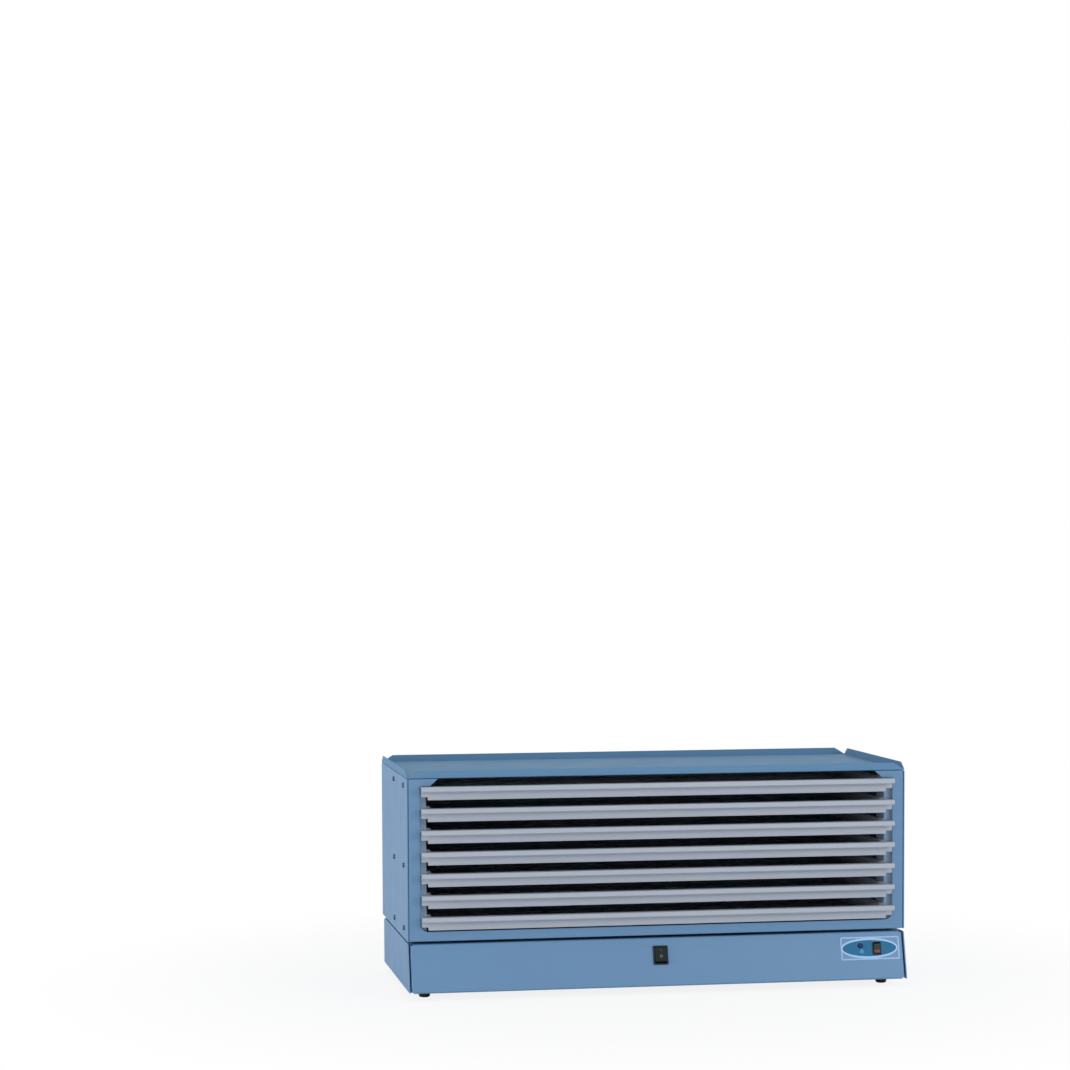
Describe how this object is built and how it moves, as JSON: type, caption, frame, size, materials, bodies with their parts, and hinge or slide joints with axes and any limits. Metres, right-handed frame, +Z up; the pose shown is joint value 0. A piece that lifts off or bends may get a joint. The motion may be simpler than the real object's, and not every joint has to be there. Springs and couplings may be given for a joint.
{
  "type": "platelet agitator",
  "caption": "Flatbed platelet agitator: a drawer carriage that shakes side to side on a low base with a leaning control panel.",
  "frame": {"origin": "on the floor, under the middle of the outer box", "axes": "+X to the operator's right along the shaking stroke, -Y to the front, +Z up"},
  "size_m": [0.8048, 0.3579, 0.357],
  "materials": {
    "steel_blue": "satin powder coat",
    "column_blue": "satin powder coat",
    "drawer_grey": "satin powder coat",
    "runner_nylon": "satin",
    "foot_rubber": "matte",
    "zinc_steel": "zinc plated",
    "black_screw": "blackened",
    "hard_shaft": "ground",
    "cast_alloy": "cast",
    "bronze_bush": "sintered bronze",
    "bearing_steel": "ground",
    "circuit_board": "solder resist",
    "black_plastic": "moulded",
    "rocker_two_colour": "moulded",
    "button_blue": "moulded",
    "overlay_film": "printed film"
  },
  "bodies": {
    "base": {"base_pan": "steel_blue", "base_front_panel": "steel_blue", "base_rear_panel": "steel_blue", "base_top_plate": "steel_blue", "rubber_feet": "foot_rubber", "foot_screws": "zinc_steel", "base_screws": "zinc_steel", "guide_shafts": "hard_shaft", "shaft_supports": "cast_alloy", "gear_motor": "cast_alloy", "motor_bracket": "zinc_steel", "power_supply": "zinc_steel", "control_board": "circuit_board", "backup_battery": "black_plastic", "alarm_buzzer": "black_plastic", "motion_sensor": "black_plastic", "mains_inlet": "black_plastic", "power_switch_housing": "black_plastic", "alarm_switch_housing": "black_plastic", "mute_button_housing": "black_plastic", "control_overlay": "overlay_film"},
    "carriage": {"carriage_side_left": "steel_blue", "carriage_side_right": "steel_blue", "carriage_front_frame": "steel_blue", "carriage_rear_panel": "steel_blue", "carriage_floor": "steel_blue", "top_tray": "steel_blue", "guide_columns_left": "column_blue", "guide_columns_right": "column_blue", "drawer_runners_left": "runner_nylon", "drawer_runners_right": "runner_nylon", "side_panel_screws": "black_screw", "bearing_blocks": "cast_alloy", "linear_bearings": "bearing_steel", "drive_bracket": "zinc_steel", "drive_pin": "hard_shaft", "sensor_magnet": "bearing_steel"},
    "crank": {"crank_disc": "cast_alloy", "crank_pin": "hard_shaft"},
    "drive_rod": {"connecting_rod": "hard_shaft", "rod_bearings": "bronze_bush"},
    "power_rocker": {"power_switch_rocker": "black_plastic"},
    "alarm_rocker": {"alarm_switch_rocker": "rocker_two_colour"},
    "mute_button": {"mute_button": "button_blue"},
    "drawer_1": {"drawer_1_front": "drawer_grey", "drawer_1_pan": "drawer_grey"},
    "drawer_2": {"drawer_2_front": "drawer_grey", "drawer_2_pan": "drawer_grey"},
    "drawer_3": {"drawer_3_front": "drawer_grey", "drawer_3_pan": "drawer_grey"},
    "drawer_4": {"drawer_4_front": "drawer_grey", "drawer_4_pan": "drawer_grey"},
    "drawer_5": {"drawer_5_front": "drawer_grey", "drawer_5_pan": "drawer_grey"},
    "drawer_6": {"drawer_6_front": "drawer_grey", "drawer_6_pan": "drawer_grey"},
    "drawer_7": {"drawer_7_front": "drawer_grey", "drawer_7_pan": "drawer_grey"}
  },
  "joints": [
    {"name": "carriage_slide", "type": "slide", "parent": "base", "child": "carriage", "axis": [1, 0, 0], "range_m": [-0.019, 0.019]},
    {"name": "crank_turn", "type": "hinge", "parent": "base", "child": "crank", "pos_m": [-0.06, 0.009, 0.061], "axis": [0, 0, 1], "continuous": true},
    {"name": "rod_turn", "type": "hinge", "parent": "crank", "child": "drive_rod", "pos_m": [-0.06, 0.028, 0.071], "axis": [0, 0, 1], "continuous": true},
    {"name": "power_rocker_tilt", "type": "hinge", "parent": "base", "child": "power_rocker", "pos_m": [0, -0.1623, 0.05877], "axis": [1, 0, 0], "range_deg": [0, 18]},
    {"name": "alarm_rocker_tilt", "type": "hinge", "parent": "base", "child": "alarm_rocker", "pos_m": [0.3529, -0.16204, 0.05974], "axis": [1, 0, 0], "range_deg": [-18, 0]},
    {"name": "mute_button_press", "type": "slide", "parent": "base", "child": "mute_button", "axis": [0, 0.9658, -0.2593], "range_m": [0, 0.0015], "stiffness_N_per_m": 300, "springref_m": -0.001},
    {"name": "drawer_1_slide", "type": "slide", "parent": "carriage", "child": "drawer_1", "axis": [0, -1, 0], "range_m": [0, 0.23]},
    {"name": "drawer_2_slide", "type": "slide", "parent": "carriage", "child": "drawer_2", "axis": [0, -1, 0], "range_m": [0, 0.23]},
    {"name": "drawer_3_slide", "type": "slide", "parent": "carriage", "child": "drawer_3", "axis": [0, -1, 0], "range_m": [0, 0.23]},
    {"name": "drawer_4_slide", "type": "slide", "parent": "carriage", "child": "drawer_4", "axis": [0, -1, 0], "range_m": [0, 0.23]},
    {"name": "drawer_5_slide", "type": "slide", "parent": "carriage", "child": "drawer_5", "axis": [0, -1, 0], "range_m": [0, 0.23]},
    {"name": "drawer_6_slide", "type": "slide", "parent": "carriage", "child": "drawer_6", "axis": [0, -1, 0], "range_m": [0, 0.23]},
    {"name": "drawer_7_slide", "type": "slide", "parent": "carriage", "child": "drawer_7", "axis": [0, -1, 0], "range_m": [0, 0.23]}
  ],
  "couplings": [
    {"joint": "rod_turn", "follows": "crank_turn", "ratio": -1}
  ]
}
